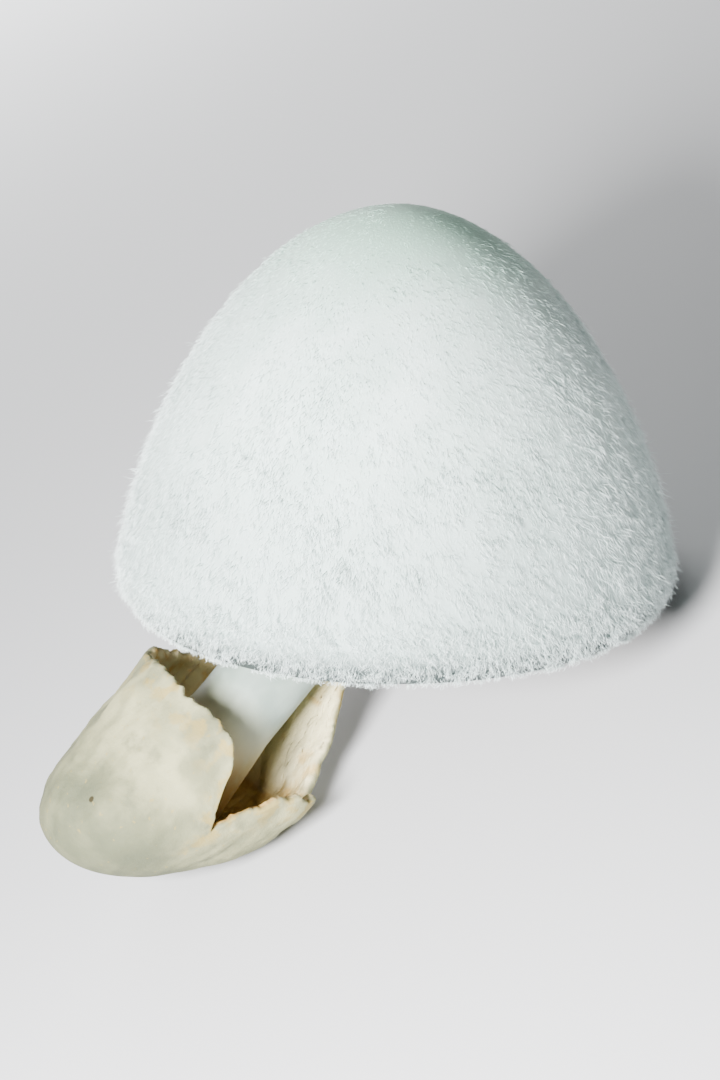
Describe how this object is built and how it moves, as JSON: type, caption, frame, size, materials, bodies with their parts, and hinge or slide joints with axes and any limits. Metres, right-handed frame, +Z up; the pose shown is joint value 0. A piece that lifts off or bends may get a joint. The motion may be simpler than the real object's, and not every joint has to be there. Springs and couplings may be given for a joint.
{
  "type": "silky rosegill mushroom",
  "caption": "Silky rosegill mushroom, picked and laid on its side: a white hairy bell cap over free gills, on a bent stem that stands in a torn sac-like volva.",
  "frame": {"origin": "middle of the small flat on the side of the volva, on the surface that the mushroom lies on", "axes": "+Z up; +X along the surface from the volva to the cap, in the plane in which the stem bends; -Y is the side that the picture shows"},
  "size_m": [0.0899, 0.0684, 0.0607],
  "materials": {
    "cap_skin": "matt white flesh with fine silky white hairs",
    "gill_flesh": "matt, soft and pale pink-cream",
    "stem_flesh": "smooth white with a faint silky sheen",
    "volva_skin": "matt cream skin with yellow-brown stains, brown inside"
  },
  "bodies": {
    "root": {"cap": "cap_skin", "gills": "gill_flesh", "stem": "stem_flesh", "volva": "volva_skin"}
  },
  "joints": []
}
